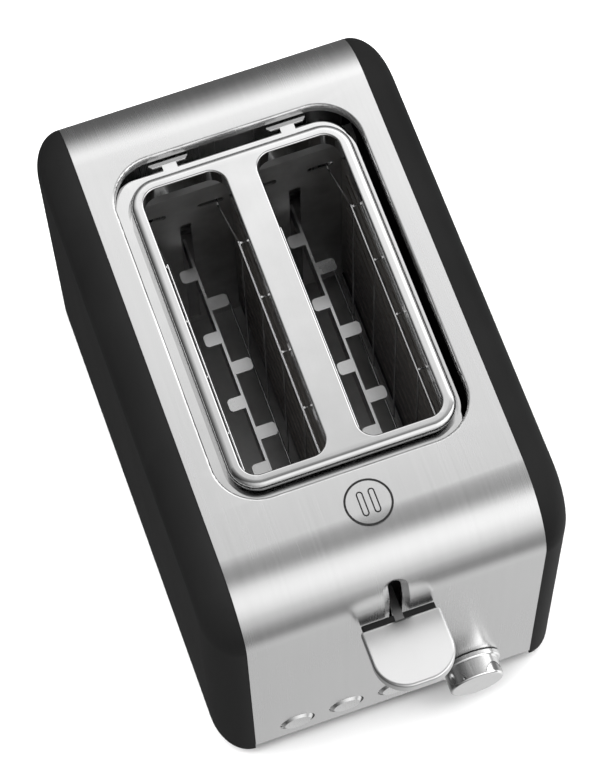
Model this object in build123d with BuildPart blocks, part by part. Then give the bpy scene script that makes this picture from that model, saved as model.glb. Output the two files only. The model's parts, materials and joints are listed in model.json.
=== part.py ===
from build123d import *
from math import atan2, degrees, hypot
import os

# Two-slot pop-up toaster.  Millimetres, +Z up, +X to the right seen from the control end.
# The control end faces -Y.  The origin is on the worktop under the middle of the whole toaster.
os.makedirs("parts", exist_ok=True)

# Casing: one steel sheet wrapped over front, top and rear, between two moulded side panels
SHELL_WIDTH = 134.0
SHELL_LENGTH = 258.0
SHELL_TOP = 180.0
SHELL_BOTTOM = 13.5
BEND_RADIUS = 32.5
SHEET = 0.8
LEVER_REACH = 34.0
TRAY_GRIP_REACH = 6.0
FRONT = -(SHELL_LENGTH + TRAY_GRIP_REACH - LEVER_REACH) / 2
REAR = FRONT + SHELL_LENGTH
SEAM_X = SHELL_WIDTH / 2

# Recessed opening in the top, and the frame with the two toast slots
OPENING_WIDTH = 112.6
OPENING_LENGTH = 166.3
OPENING_CORNER = 20.0
OPENING_Y = FRONT + 135.5
LIP_DEPTH = 4.5
LIP_ROUNDING = 1.4
SLOT_WIDTH = 37.7
SLOT_LENGTH = 140.3
SLOT_CORNER = 7.5
SLOT_X = 26.1
SLOT_Y = FRONT + 132.75
FRAME_TOP = SHELL_TOP + 1.6
FRAME_BEAD = 4.6
FRAME_WALL = 1.2
FRAME_SHEET = 1.0
FRAME_ROUNDING = 3.2
LEDGE_TOP = 174.0
LEDGE_EDGE = 2.0
LEDGE_RIGHT_X = 52.4
LEDGE_REAR_Y = FRONT + 214.5
LEDGE_UNDER_LIP = 3.0
GROOVE_WIDTH = 1.2
GROOVE_BOTTOM = 167.0
HOOK_X = 27.3
HOOK_NECK_WIDTH = 6.5
HOOK_HEAD_WIDTH = 18.0

# Side panels
PANEL_THICKNESS = 14.8
PANEL_GAP = 0.2
PANEL_BOTTOM = 8.0
PANEL_ROUND_IN = 21.0
PANEL_WALL = 2.4

# Base, feet and crumb tray
BASE_BOTTOM = 8.0
BASE_THICKNESS = 2.5
BASE_TOP = BASE_BOTTOM + BASE_THICKNESS
FOOT_RADIUS = 9.0
FOOT_X = 52.0
FOOT_INSET_Y = 28.0
FOOT_STEM_RADIUS = 3.0
BASE_WIDTH = SHELL_WIDTH - 4.0
BASE_LENGTH = SHELL_LENGTH - 5.6
BASE_WALL = 2.5
BASE_WALL_HEIGHT = 7.0
EAR_X = 70.0
EAR_THICKNESS = 2.5
TRAY_RAIL_X = 53.0
TRAY_RAIL_LENGTH = 186.0
TRAY_HALF_WIDTH = 50.0
TRAY_BOTTOM = 12.0
TRAY_WALL_TOP = 18.5
TRAY_FRONT = FRONT + 60.0
TRAY_WINDOW_TOP = 24.0
TRAY_SHEET = 1.0
TRAY_GRIP_WIDTH = 56.0
TRAY_GRIP_THICKNESS = 2.2
EAR_Y = (FRONT + 40, REAR - 40)
SCREW_X = 73.0
SCREW_RADIUS = 1.5
SCREW_HEAD_RADIUS = 3.0
SCREW_HEAD_HEIGHT = 1.2

# Toasting chamber
CHAMBER_FRONT = FRONT + 57.5
CHAMBER_REAR = FRONT + 207.5
PLATE_SHEET = 0.8
PLATE_BOTTOM = 21.0
PLATE_TOP = 158.0
PLATE_HALF_WIDTH = 57.0
CARD_OUTER_X = 50.0
CARD_INNER_X = 2.6
CARD_THICKNESS = 0.8
CARD_BOTTOM = 28.0
CARD_TOP = 150.0
REFLECTOR_X = 54.5
RIBBON_PITCH = 11.0
RIBBON_COUNT = 10
GUIDE_TOP = 128.5
GUIDE_WIDTH = 5.4

# Bread guards: welded wire grilles, hinged at the bottom
WIRE = 0.5
CROSS_WIRE = 0.42
OUTER_RAIL_WIRE = 0.36
GUARD_OFFSET = 16.4
GUARD_UPRIGHT_OFFSET = 0.8
GUARD_HINGE_Z = 46.0
GUARD_PIN_Z = 142.0
GUARD_TOP_Z = 163.5
GUARD_PITCH = 27.5
GUARD_STUB = 3.4
GUARD_PIN_LENGTH = 8.0

# Bread racks and carriage
RACK_TOP = 100.0
RACK_DEPTH = 12.0
RACK_SHEET = 1.2
RACK_OFFSET = 1.0
TAB_REACH = {-1: 7.6, 1: 9.2}
TAB_WIDTH_Y = 6.4
TAB_PITCH = 33.5
TRAVEL_DOWN = 60.0
TRAVEL_LIFT = 16.0
ROD_X = 22.0
ROD_Y = FRONT + 40.0
ROD_RADIUS = 2.5
ROD_CLEARANCE = 0.05
SLEEVE_RADIUS = 5.0

# Controls on the front face
CONTROL_Z = 29.0
BUTTON_X = (-46.6, -23.0, 0.5)
BUTTON_HOLE_RADIUS = 8.35
BUTTON_RADIUS = 7.6
BUTTON_PROUD = 0.9
BUTTON_CHAMFER = 1.3
BUTTON_DISH_RADIUS = 60.0
BUTTON_DISH_DEPTH = 0.3
BUTTON_TRAVEL = 2.0
KNOB_X = 36.4
KNOB_FLANGE_RADIUS = 14.5
KNOB_RADIUS = 12.85
KNOB_FRONT = FRONT - 11.6
KNOB_FLANGE_FRONT = FRONT - 2.9
KNOB_BACK = FRONT - 0.5
SHAFT_RADIUS = 3.0
BOARD_Y = FRONT + 18.0
LEVER_SLIT = 5.8
LEVER_DISH = 11.3
LEVER_DISH_DEPTH = 1.8
CHANNEL_WIDTH = LEVER_DISH + 3.0
CHANNEL_CUT = LEVER_DISH_DEPTH + 3.0
CHANNEL_BEND_ANGLE = 24
LEVER_SLOT_BOTTOM = 66.0
LEVER_BOTTOM = 132.5
LEVER_TIP_TOP = 140.9
LEVER_BACK_TOP = 138.1
LEVER_HALF_WIDTH = 18.0
LEVER_BACK = FRONT - 3.5
LEVER_CORNER = 14.5

# Mains cord entry in the rear face
CORD_X = -38.0
CORD_Z = 44.0
CORD_BORE_RADIUS = 3.6
CORD_HOLE_RADIUS = 7.0
TERMINAL_Y = REAR - 24.0
TERMINAL_BOTTOM = PLATE_BOTTOM + 12.0
TERMINAL_HEIGHT = 12.0
TERMINAL_WIDTH = 30.0
TERMINAL_DEPTH = 14.0
BRACKET_SHEET = 1.0

FRONT_PLANE = Plane(origin=(0, FRONT, 0), x_dir=(1, 0, 0), z_dir=(0, -1, 0))
REAR_PLANE = Plane(origin=(0, REAR, 0), x_dir=(-1, 0, 0), z_dir=(0, 1, 0))


def keep(builder, name):
    """Label the finished piece and write its STEP file."""
    builder.part.label = name
    export_step(builder.part, f"parts/{name}.step")


def keep_divided(builder, cut_places, name):
    """Divide a sheet across Y where its shape changes, into solids that meet face to face."""
    pieces = builder.part.solids()
    for y in cut_places:
        halves = []
        for piece in pieces:
            halves.extend(split(piece, bisect_by=Plane.XZ.offset(-y), keep=Keep.BOTH).solids())
        pieces = halves
    divided = Compound(pieces)
    divided.label = name
    export_step(divided, f"parts/{name}.step")


def casing_points(inset, bottom):
    """Corner points of the casing's side profile, as (y, z), from front foot to rear foot."""
    top = SHELL_TOP - inset
    return ((FRONT + inset, bottom), (FRONT + inset, top), (REAR - inset, top), (REAR - inset, bottom))


def casing_face(inset, bottom):
    """Face inside the casing's side profile, drawn with its sketch x along Y and sketch y along Z."""
    points = casing_points(inset, bottom)
    with BuildSketch() as face:
        with BuildLine():
            FilletPolyline(*points, radius=BEND_RADIUS - inset)
            Line(points[-1], points[0])
        make_face()
    return face.sketch


def casing_path(bottom):
    """Outer side profile in the plane of the seam, as a wire for sweeps."""
    with BuildLine(Plane.YZ) as profile:
        FilletPolyline(*casing_points(0, bottom), radius=BEND_RADIUS)
    return profile.wire()


# ------------------------------------------------------------------ casing
with BuildPart() as outer_shell:
    with BuildSketch(Plane.YZ.offset(-SEAM_X)):
        add(casing_face(0, SHELL_BOTTOM))
        add(casing_face(SHEET, SHELL_BOTTOM), mode=Mode.SUBTRACT)
    extrude(amount=SHELL_WIDTH)
    # folded-down lip round the recess in the top
    with BuildSketch(Plane.XY.offset(SHELL_TOP)):
        with Locations((0, OPENING_Y)):
            lip_width = OPENING_WIDTH + 2 * SHEET
            RectangleRounded(lip_width, OPENING_LENGTH + 2 * SHEET, OPENING_CORNER + SHEET)
    extrude(amount=-LIP_DEPTH)
    with BuildSketch(Plane.XY.offset(SHELL_TOP)):
        with Locations((0, OPENING_Y)):
            RectangleRounded(OPENING_WIDTH, OPENING_LENGTH, OPENING_CORNER)
    extrude(amount=-LIP_DEPTH, mode=Mode.SUBTRACT)
    top_edges = outer_shell.edges().filter_by_position(Axis.Z, SHELL_TOP - 0.01, SHELL_TOP + 0.01)
    lip_edges = top_edges.filter_by(
        lambda edge: abs(edge.center().X) < OPENING_WIDTH / 2 + SHEET
        and abs(edge.center().Y - OPENING_Y) < OPENING_LENGTH / 2 + SHEET
    )
    fillet(lip_edges, LIP_ROUNDING)
    # dished channel that the lever slides in: it follows the face up into the front bend
    with BuildLine(Plane.YZ) as channel_path:
        channel_start = (FRONT, LEVER_SLOT_BOTTOM)
        channel_bend = (FRONT, SHELL_TOP - BEND_RADIUS)
        Line(channel_start, channel_bend)
        CenterArc((FRONT + BEND_RADIUS, SHELL_TOP - BEND_RADIUS), BEND_RADIUS, 180, -CHANNEL_BEND_ANGLE)
    channel_foot = Plane(origin=(0, FRONT, LEVER_SLOT_BOTTOM), x_dir=(1, 0, 0), z_dir=(0, 0, 1))
    with BuildSketch(channel_foot):
        with Locations((0, SHEET)):
            Rectangle(CHANNEL_WIDTH, LEVER_DISH_DEPTH, align=(Align.CENTER, Align.MIN))
    sweep(path=channel_path.wire())
    channel_top = channel_path.wire() @ 1
    channel_top_direction = channel_path.wire() % 1
    channel_top_normal = Vector(1, 0, 0).cross(channel_top_direction)
    channel_ends = (
        Plane(origin=(0, FRONT, LEVER_SLOT_BOTTOM), x_dir=(1, 0, 0), z_dir=(0, 1, 0)),
        Plane(origin=channel_top, x_dir=(1, 0, 0), z_dir=channel_top_normal * -1),
    )
    for channel_end in channel_ends:
        with BuildSketch(channel_end.offset(SHEET)):
            Circle(CHANNEL_WIDTH / 2)
        extrude(amount=LEVER_DISH_DEPTH)
    with BuildSketch(channel_foot):
        with BuildLine():
            Polyline(
                (-LEVER_DISH / 2, -1), (-LEVER_DISH / 2, 0), (-LEVER_SLIT / 2, LEVER_DISH_DEPTH),
                (-LEVER_SLIT / 2, CHANNEL_CUT), (LEVER_SLIT / 2, CHANNEL_CUT),
                (LEVER_SLIT / 2, LEVER_DISH_DEPTH), (LEVER_DISH / 2, 0), (LEVER_DISH / 2, -1),
                close=True,
            )
        make_face()
    sweep(path=channel_path.wire(), mode=Mode.SUBTRACT)
    for channel_end in channel_ends:
        with BuildSketch(channel_end):
            Circle(LEVER_DISH / 2)
        with BuildSketch(channel_end.offset(LEVER_DISH_DEPTH)):
            Circle(LEVER_SLIT / 2)
        loft(mode=Mode.SUBTRACT)
        with BuildSketch(channel_end):
            Circle(LEVER_SLIT / 2)
        extrude(amount=CHANNEL_CUT, mode=Mode.SUBTRACT)
    # holes for the buttons and the knob's shaft
    with BuildSketch(FRONT_PLANE):
        with Locations(*[(x, CONTROL_Z) for x in BUTTON_X]):
            Circle(BUTTON_HOLE_RADIUS)
        with Locations((KNOB_X, CONTROL_Z)):
            Circle(SHAFT_RADIUS + 1.5)
    extrude(amount=-2 * SHEET, mode=Mode.SUBTRACT)
    # rear face: window for the crumb tray, hole for the cord bush
    with BuildSketch(REAR_PLANE):
        with Locations((0, SHELL_BOTTOM)):
            Rectangle(2 * TRAY_HALF_WIDTH + 4, 2 * (TRAY_WINDOW_TOP - SHELL_BOTTOM))
        with Locations((-CORD_X, CORD_Z)):
            Circle(CORD_HOLE_RADIUS)
    extrude(amount=-2 * SHEET, mode=Mode.SUBTRACT)
opening_front = OPENING_Y - OPENING_LENGTH / 2
opening_rear = OPENING_Y + OPENING_LENGTH / 2
lip_straight_front = opening_front + OPENING_CORNER + 1
lip_straight_rear = opening_rear - OPENING_CORNER - 1
lip_cuts = (opening_front, lip_straight_front, lip_straight_rear, opening_rear)
keep_divided(outer_shell, lip_cuts, "outer_shell")


def panel_rim_section(thickness, round_in):
    """Quarter of an ellipse from the seam to the flat outer face, with a strip behind it."""
    with BuildSketch() as section:
        with BuildLine():
            EllipticalCenterArc((0, PANEL_ROUND_IN), thickness, round_in, 270, arc_size=90)
            Polyline((thickness, PANEL_ROUND_IN), (thickness, PANEL_ROUND_IN + 1), (0, PANEL_ROUND_IN + 1))
            Line((0, PANEL_ROUND_IN + 1), (0, PANEL_ROUND_IN - round_in))
        make_face()
    return section.sketch


with BuildPart() as side_panel_right:
    panel_seam = SEAM_X + PANEL_GAP
    with BuildSketch(Plane(origin=(panel_seam, FRONT, PANEL_BOTTOM), x_dir=(1, 0, 0))):
        add(panel_rim_section(PANEL_THICKNESS, PANEL_ROUND_IN))
    sweep(path=casing_path(PANEL_BOTTOM).moved(Location((panel_seam, 0, 0))))
    with BuildSketch(Plane.YZ.offset(panel_seam)):
        add(casing_face(PANEL_ROUND_IN, PANEL_BOTTOM))
    extrude(amount=PANEL_THICKNESS)
    bottom_edges = side_panel_right.edges().filter_by_position(
        Axis.Z, PANEL_BOTTOM - 0.01, PANEL_BOTTOM + 0.01
    )
    outline_edges = bottom_edges.filter_by(lambda edge: edge.center().X > panel_seam + 0.1)
    chamfer(outline_edges, 1.2)
    inner_bottom = PANEL_BOTTOM + PANEL_WALL
    inner_thickness = PANEL_THICKNESS - PANEL_WALL
    with BuildSketch(Plane(origin=(panel_seam, FRONT, inner_bottom), x_dir=(1, 0, 0))):
        add(panel_rim_section(inner_thickness, PANEL_ROUND_IN - PANEL_WALL))
    sweep(path=casing_path(inner_bottom).moved(Location((panel_seam, 0, 0))), mode=Mode.SUBTRACT)
    with BuildSketch(Plane.YZ.offset(panel_seam)):
        add(casing_face(PANEL_ROUND_IN, inner_bottom))
    extrude(amount=inner_thickness, mode=Mode.SUBTRACT)
    with Locations(*[(SCREW_X, y, inner_bottom) for y in EAR_Y]):
        Hole(SCREW_RADIUS, depth=PANEL_WALL)
keep(side_panel_right, "side_panel_right")

with BuildPart() as side_panel_left:
    mirror(side_panel_right.part, about=Plane.YZ)
keep(side_panel_left, "side_panel_left")

# ------------------------------------------------------------------ polished frame round the slots
pad_margin = 2 * (FRAME_BEAD + FRAME_WALL)
pad_width = 2 * SLOT_X + SLOT_WIDTH + pad_margin
pad_length = SLOT_LENGTH + pad_margin
pad_corner = SLOT_CORNER + FRAME_BEAD + FRAME_WALL
slot_centers = ((-SLOT_X, SLOT_Y), (SLOT_X, SLOT_Y))


def pad_outline(grow):
    """Outline of the raised pad, grown on every side."""
    with BuildSketch() as outline:
        with Locations((0, SLOT_Y)):
            RectangleRounded(pad_width + 2 * grow, pad_length + 2 * grow, pad_corner + grow)
    return outline.sketch


def slot_outlines(grow):
    """Outlines of the two slots, grown on every side."""
    with BuildSketch() as outlines:
        with Locations(*slot_centers):
            RectangleRounded(SLOT_WIDTH + 2 * grow, SLOT_LENGTH + 2 * grow, SLOT_CORNER + grow)
    return outlines.sketch


def ledge_outline():
    """Ledge round the pad, tucked under the casing's lip at the front and left only."""
    ledge_left_x = -OPENING_WIDTH / 2 - LEDGE_UNDER_LIP
    ledge_front_y = opening_front - LEDGE_UNDER_LIP
    free_corner = 14.0
    with BuildSketch() as outline:
        with Locations(((ledge_left_x + LEDGE_RIGHT_X) / 2, (ledge_front_y + LEDGE_REAR_Y) / 2)):
            RectangleRounded(LEDGE_RIGHT_X - ledge_left_x, LEDGE_REAR_Y - ledge_front_y, free_corner)
        with Locations((ledge_left_x, ledge_front_y)):
            Rectangle(abs(ledge_left_x), OPENING_CORNER + 4, align=(Align.MIN, Align.MIN))
        with Locations((0, OPENING_Y)):
            under_lip = 2 * LEDGE_UNDER_LIP
            RectangleRounded(OPENING_WIDTH + under_lip, OPENING_LENGTH + under_lip,
                             OPENING_CORNER + LEDGE_UNDER_LIP, mode=Mode.INTERSECT)
    return outline.sketch


with BuildPart() as slot_frame:
    with BuildSketch(Plane.XY.offset(LEDGE_TOP - LEDGE_EDGE)):
        add(ledge_outline())
    extrude(amount=LEDGE_EDGE)
    ledge_rim = slot_frame.edges().filter_by_position(Axis.Z, LEDGE_TOP - 0.01, LEDGE_TOP + 0.01)
    free_rim = ledge_rim.filter_by(
        lambda edge: edge.center().Y > opening_front + OPENING_CORNER + 2
        and (edge.center().X > LEDGE_RIGHT_X - 6 or edge.center().Y > LEDGE_REAR_Y - 6)
    )
    fillet(free_rim, LEDGE_EDGE - 0.3)
    # groove between the ledge and the pad
    with BuildSketch(Plane.XY.offset(GROOVE_BOTTOM)):
        add(pad_outline(GROOVE_WIDTH + FRAME_SHEET))
    extrude(amount=LEDGE_TOP - GROOVE_BOTTOM)
    with BuildSketch(Plane.XY.offset(GROOVE_BOTTOM + FRAME_SHEET)):
        add(pad_outline(GROOVE_WIDTH))
    extrude(amount=LEDGE_TOP - GROOVE_BOTTOM, mode=Mode.SUBTRACT)
    # raised pad, hollow underneath except for a collar round each slot
    with BuildSketch(Plane.XY.offset(GROOVE_BOTTOM)):
        add(pad_outline(0))
    extrude(amount=FRAME_TOP - GROOVE_BOTTOM)
    pad_rim = slot_frame.edges().filter_by_position(Axis.Z, FRAME_TOP - 0.01, FRAME_TOP + 0.01)
    fillet(pad_rim, FRAME_ROUNDING)
    with BuildSketch(Plane.XY.offset(GROOVE_BOTTOM)):
        add(pad_outline(-FRAME_SHEET))
    extrude(amount=LEDGE_TOP - FRAME_SHEET - GROOVE_BOTTOM, mode=Mode.SUBTRACT)
    with BuildSketch(Plane.XY.offset(LEDGE_TOP - FRAME_SHEET)):
        add(pad_outline(-FRAME_SHEET))
        add(slot_outlines(FRAME_SHEET), mode=Mode.SUBTRACT)
    extrude(amount=FRAME_TOP - LEDGE_TOP, mode=Mode.SUBTRACT)
    with BuildSketch(Plane.XY.offset(FRAME_TOP)):
        add(slot_outlines(0))
    extrude(amount=LEDGE_TOP - FRAME_SHEET - FRAME_TOP, mode=Mode.SUBTRACT)
    slot_rims = slot_frame.edges().filter_by_position(Axis.Z, FRAME_TOP - 0.01, FRAME_TOP + 0.01)
    slot_rims = slot_rims.filter_by(lambda edge: abs(edge.center().X) < SLOT_X + SLOT_WIDTH / 2 + 0.1)
    slot_rims = slot_rims.filter_by(lambda edge: abs(edge.center().Y - SLOT_Y) < SLOT_LENGTH / 2 + 0.1)
    fillet(slot_rims, 0.9)
    # two hooks that reach over the gap at the rear, under the casing's lip
    hook_neck_y = LEDGE_REAR_Y - 3.0
    hook_head_y = LEDGE_REAR_Y + 1.5
    hook_end_y = opening_rear + LEDGE_UNDER_LIP
    with BuildSketch(Plane.XY.offset(LEDGE_TOP - FRAME_SHEET)):
        for side in (-1, 1):
            with Locations((side * HOOK_X, hook_neck_y)):
                Rectangle(HOOK_NECK_WIDTH, hook_end_y - hook_neck_y, align=(Align.CENTER, Align.MIN))
            with Locations((side * HOOK_X, (hook_head_y + hook_end_y) / 2)):
                Rectangle(HOOK_HEAD_WIDTH, hook_end_y - hook_head_y)
    extrude(amount=FRAME_SHEET)
    head_corners = slot_frame.edges().filter_by(Axis.Z).filter_by(
        lambda edge: abs(edge.center().Y - hook_head_y) < 0.01
        and abs(abs(abs(edge.center().X) - HOOK_X) - HOOK_HEAD_WIDTH / 2) < 0.01
    )
    chamfer(head_corners, 1.4)
slot_front = SLOT_Y - SLOT_LENGTH / 2
slot_rear = SLOT_Y + SLOT_LENGTH / 2
slot_cuts = (slot_front, slot_front + SLOT_CORNER + 1, slot_rear - SLOT_CORNER - 1, slot_rear)
keep_divided(slot_frame, slot_cuts, "slot_frame")

# ------------------------------------------------------------------ base, feet, crumb tray
foot_y = (FRONT + FOOT_INSET_Y, REAR - FOOT_INSET_Y)
with BuildPart() as base_plate:
    with BuildSketch(Plane.XY.offset(BASE_BOTTOM)):
        with Locations((0, FRONT + SHELL_LENGTH / 2)):
            RectangleRounded(BASE_WIDTH, BASE_LENGTH, 4)
    extrude(amount=BASE_THICKNESS)
    with BuildSketch(Plane.XY.offset(BASE_TOP)):
        with Locations((0, FRONT + SHELL_LENGTH / 2)):
            RectangleRounded(BASE_WIDTH, BASE_LENGTH, 4)
            RectangleRounded(BASE_WIDTH - 2 * BASE_WALL, BASE_LENGTH - 2 * BASE_WALL, 2,
                             mode=Mode.SUBTRACT)
    extrude(amount=BASE_WALL_HEIGHT)
    # ears that reach out over the floors of the side panels
    with BuildSketch(Plane.XY.offset(BASE_TOP)):
        with Locations(*[(x, y) for x in (-EAR_X, EAR_X) for y in EAR_Y]):
            Rectangle(17, 14)
    extrude(amount=EAR_THICKNESS)
    # rails on both sides of the crumb tray, and the tray's way out through the rear wall
    with BuildSketch(Plane.XY.offset(BASE_TOP)):
        with Locations(*[(x, (TRAY_FRONT + REAR) / 2 - 6) for x in (-TRAY_RAIL_X, TRAY_RAIL_X)]):
            Rectangle(2.5, TRAY_RAIL_LENGTH)
    extrude(amount=9.0)
    with BuildSketch(Plane.XY.offset(BASE_TOP)):
        with Locations((0, REAR)):
            Rectangle(2 * TRAY_HALF_WIDTH + 4, 24)
    extrude(amount=12, mode=Mode.SUBTRACT)
    # screw holes through the ears, and foot sockets
    with Locations(*[(x, y, BASE_TOP + EAR_THICKNESS) for x in (-SCREW_X, SCREW_X) for y in EAR_Y]):
        Hole(SCREW_RADIUS, depth=EAR_THICKNESS)
    with Locations(*[(x, y, BASE_TOP) for x in (-FOOT_X, FOOT_X) for y in foot_y]):
        Hole(FOOT_STEM_RADIUS, depth=BASE_THICKNESS)
keep(base_plate, "base_plate")


def make_foot(x, y):
    """Rubber foot: tapered puck with a stem pressed up through the base."""
    with BuildPart() as foot:
        with BuildSketch(Plane(origin=(x, y, 0))):
            Circle(FOOT_RADIUS - 1.5)
        with BuildSketch(Plane(origin=(x, y, BASE_BOTTOM))):
            Circle(FOOT_RADIUS)
        loft()
        fillet(foot.edges().group_by(Axis.Z)[0], 1.0)
        with BuildSketch(Plane(origin=(x, y, BASE_BOTTOM))):
            Circle(FOOT_STEM_RADIUS)
        extrude(amount=BASE_THICKNESS + 1.5)
    return foot


for end_name, foot_end_y in zip(("front", "rear"), foot_y):
    for side_name, foot_side_x in (("left", -FOOT_X), ("right", FOOT_X)):
        keep(make_foot(foot_side_x, foot_end_y), f"foot_{end_name}_{side_name}")

with BuildPart() as crumb_tray:
    tray_rear = REAR - SHEET
    tray_length = tray_rear - TRAY_FRONT
    with BuildSketch(Plane.XY.offset(TRAY_BOTTOM)):
        with Locations((0, TRAY_FRONT + tray_length / 2)):
            RectangleRounded(2 * TRAY_HALF_WIDTH, tray_length, 3)
    extrude(amount=TRAY_WALL_TOP - TRAY_BOTTOM)
    with BuildSketch(Plane.XY.offset(TRAY_BOTTOM + TRAY_SHEET)):
        with Locations((0, TRAY_FRONT + tray_length / 2)):
            RectangleRounded(2 * (TRAY_HALF_WIDTH - TRAY_SHEET), tray_length - 2 * TRAY_SHEET, 2)
    extrude(amount=TRAY_WALL_TOP, mode=Mode.SUBTRACT)
    # end panel that closes the window, with a lip for the fingers
    with BuildSketch(Plane(origin=(0, tray_rear, 0), x_dir=(1, 0, 0), z_dir=(0, -1, 0))):
        with Locations((0, TRAY_BOTTOM)):
            Rectangle(2 * TRAY_HALF_WIDTH + 3, TRAY_WINDOW_TOP - TRAY_BOTTOM - 0.6,
                      align=(Align.CENTER, Align.MIN))
    extrude(amount=-1.6)
    with BuildSketch(Plane.XY.offset(TRAY_BOTTOM)):
        with Locations((0, REAR)):
            Rectangle(TRAY_GRIP_WIDTH, TRAY_GRIP_REACH, align=(Align.CENTER, Align.MIN))
    extrude(amount=TRAY_GRIP_THICKNESS)
    grip_edges = crumb_tray.edges().filter_by(Axis.Z).group_by(Axis.Y)[-1]
    fillet(grip_edges, 4.0)
keep(crumb_tray, "crumb_tray")

# ------------------------------------------------------------------ toasting chamber


def make_end_plate(y, fold_direction, fold):
    """Upright plate across the chamber with guide slots, guard holes and a folded top."""
    plane = Plane(origin=(0, y, 0), x_dir=(1, 0, 0), z_dir=(0, -1, 0))
    with BuildPart() as plate:
        with BuildSketch(plane):
            with Locations((0, PLATE_BOTTOM)):
                Rectangle(2 * PLATE_HALF_WIDTH, PLATE_TOP - PLATE_BOTTOM,
                          align=(Align.CENTER, Align.MIN))
            guide_bottom = RACK_TOP - RACK_DEPTH - TRAVEL_DOWN - 2
            for slot_side in (-1, 1):
                with Locations((slot_side * SLOT_X + RACK_OFFSET, (GUIDE_TOP + guide_bottom) / 2)):
                    RectangleRounded(GUIDE_WIDTH, GUIDE_TOP - guide_bottom, 1.2, mode=Mode.SUBTRACT)
                for guard_side in (-1, 1):
                    wire_x = slot_side * SLOT_X + guard_side * GUARD_OFFSET
                    with Locations((wire_x - guard_side * 2.9, GUARD_PIN_Z)):
                        SlotOverall(12.5, 4, mode=Mode.SUBTRACT)
                    with Locations((wire_x, GUARD_HINGE_Z)):
                        Circle(WIRE + 0.06, mode=Mode.SUBTRACT)
        extrude(amount=PLATE_SHEET / 2, both=True)
        fold_center = y + fold_direction * (fold / 2)
        with BuildSketch(Plane.XY.offset(PLATE_TOP - PLATE_SHEET)):
            with Locations((0, fold_center)):
                Rectangle(2 * PLATE_HALF_WIDTH, fold)
        extrude(amount=PLATE_SHEET)
    return plate


front_end_plate = make_end_plate(CHAMBER_FRONT, -1, 8.0)
keep(front_end_plate, "front_end_plate")
rear_end_plate = make_end_plate(CHAMBER_REAR, 1, 8.0)
keep(rear_end_plate, "rear_end_plate")

chamber_inside = CHAMBER_REAR - CHAMBER_FRONT - PLATE_SHEET
chamber_y = (CHAMBER_REAR + CHAMBER_FRONT) / 2


def make_card(x):
    """Mica sheet that carries a heating ribbon."""
    with BuildPart() as card:
        with BuildSketch(Plane.YZ.offset(x)):
            with Locations((chamber_y, (CARD_TOP + CARD_BOTTOM) / 2)):
                Rectangle(chamber_inside, CARD_TOP - CARD_BOTTOM)
                with GridLocations(0, RIBBON_PITCH, 1, RIBBON_COUNT):
                    with GridLocations(chamber_inside - 14, 0, 2, 1):
                        Rectangle(1.0, 3.0, mode=Mode.SUBTRACT)
        extrude(amount=CARD_THICKNESS / 2, both=True)
    return card


def make_ribbon(x, facing):
    """Heating ribbon: flat level runs on the bread side of a card, one for each pair of edge slots."""
    surface = x + facing * CARD_THICKNESS / 2
    with BuildPart() as ribbon:
        with BuildSketch(Plane.YZ.offset(surface)):
            with Locations((chamber_y, (CARD_TOP + CARD_BOTTOM) / 2)):
                with GridLocations(0, RIBBON_PITCH, 1, RIBBON_COUNT):
                    Rectangle(chamber_inside - 14, 1.6)
        extrude(amount=facing * 0.25)
    return ribbon


def make_reflector(x):
    """Flat heat shield between the outer element and the side panel."""
    with BuildPart() as reflector:
        with BuildSketch(Plane.YZ.offset(x)):
            with Locations((chamber_y, (PLATE_TOP + PLATE_BOTTOM) / 2)):
                Rectangle(chamber_inside, PLATE_TOP - PLATE_BOTTOM - 4)
        extrude(amount=PLATE_SHEET / 2, both=True)
    return reflector


for slot_name, slot_side in (("left", -1), ("right", 1)):
    keep(make_reflector(slot_side * REFLECTOR_X), f"heat_shield_{slot_name}")
    keep(make_card(slot_side * CARD_OUTER_X), f"element_card_{slot_name}_outer")
    keep(make_card(slot_side * CARD_INNER_X), f"element_card_{slot_name}_inner")
    keep(make_ribbon(slot_side * CARD_OUTER_X, -slot_side), f"heater_ribbon_{slot_name}_outer")
    keep(make_ribbon(slot_side * CARD_INNER_X, slot_side), f"heater_ribbon_{slot_name}_inner")


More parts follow.
